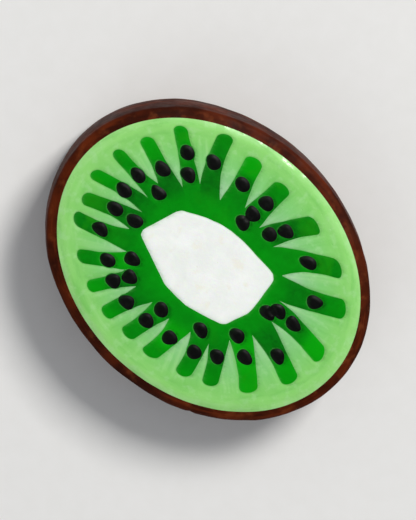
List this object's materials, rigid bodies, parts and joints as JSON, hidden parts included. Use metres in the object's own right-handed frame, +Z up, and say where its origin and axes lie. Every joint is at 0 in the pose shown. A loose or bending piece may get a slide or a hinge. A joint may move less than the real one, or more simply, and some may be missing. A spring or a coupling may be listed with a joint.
{
  "type": "polymer clay kiwi slice",
  "caption": "Small oval kiwi slice cut from a cane of coloured clay: thin brown skin, light green flesh, dark green star with black seeds, white core.",
  "frame": {"origin": "middle of the underside that the slice lies on", "axes": "+X along the long way of the oval, on the side where the star's rays are spaced widest; +Z up out of the shown face"},
  "size_m": [0.021, 0.0168, 0.0049],
  "materials": {
    "skin": "semi-gloss baked clay",
    "flesh": "satin baked clay",
    "star": "satin baked clay",
    "core": "satin baked clay",
    "seeds": "satin baked clay"
  },
  "bodies": {
    "root": {"skin": "skin", "flesh": "flesh", "seeded_star": "star", "core": "core"}
  },
  "joints": []
}
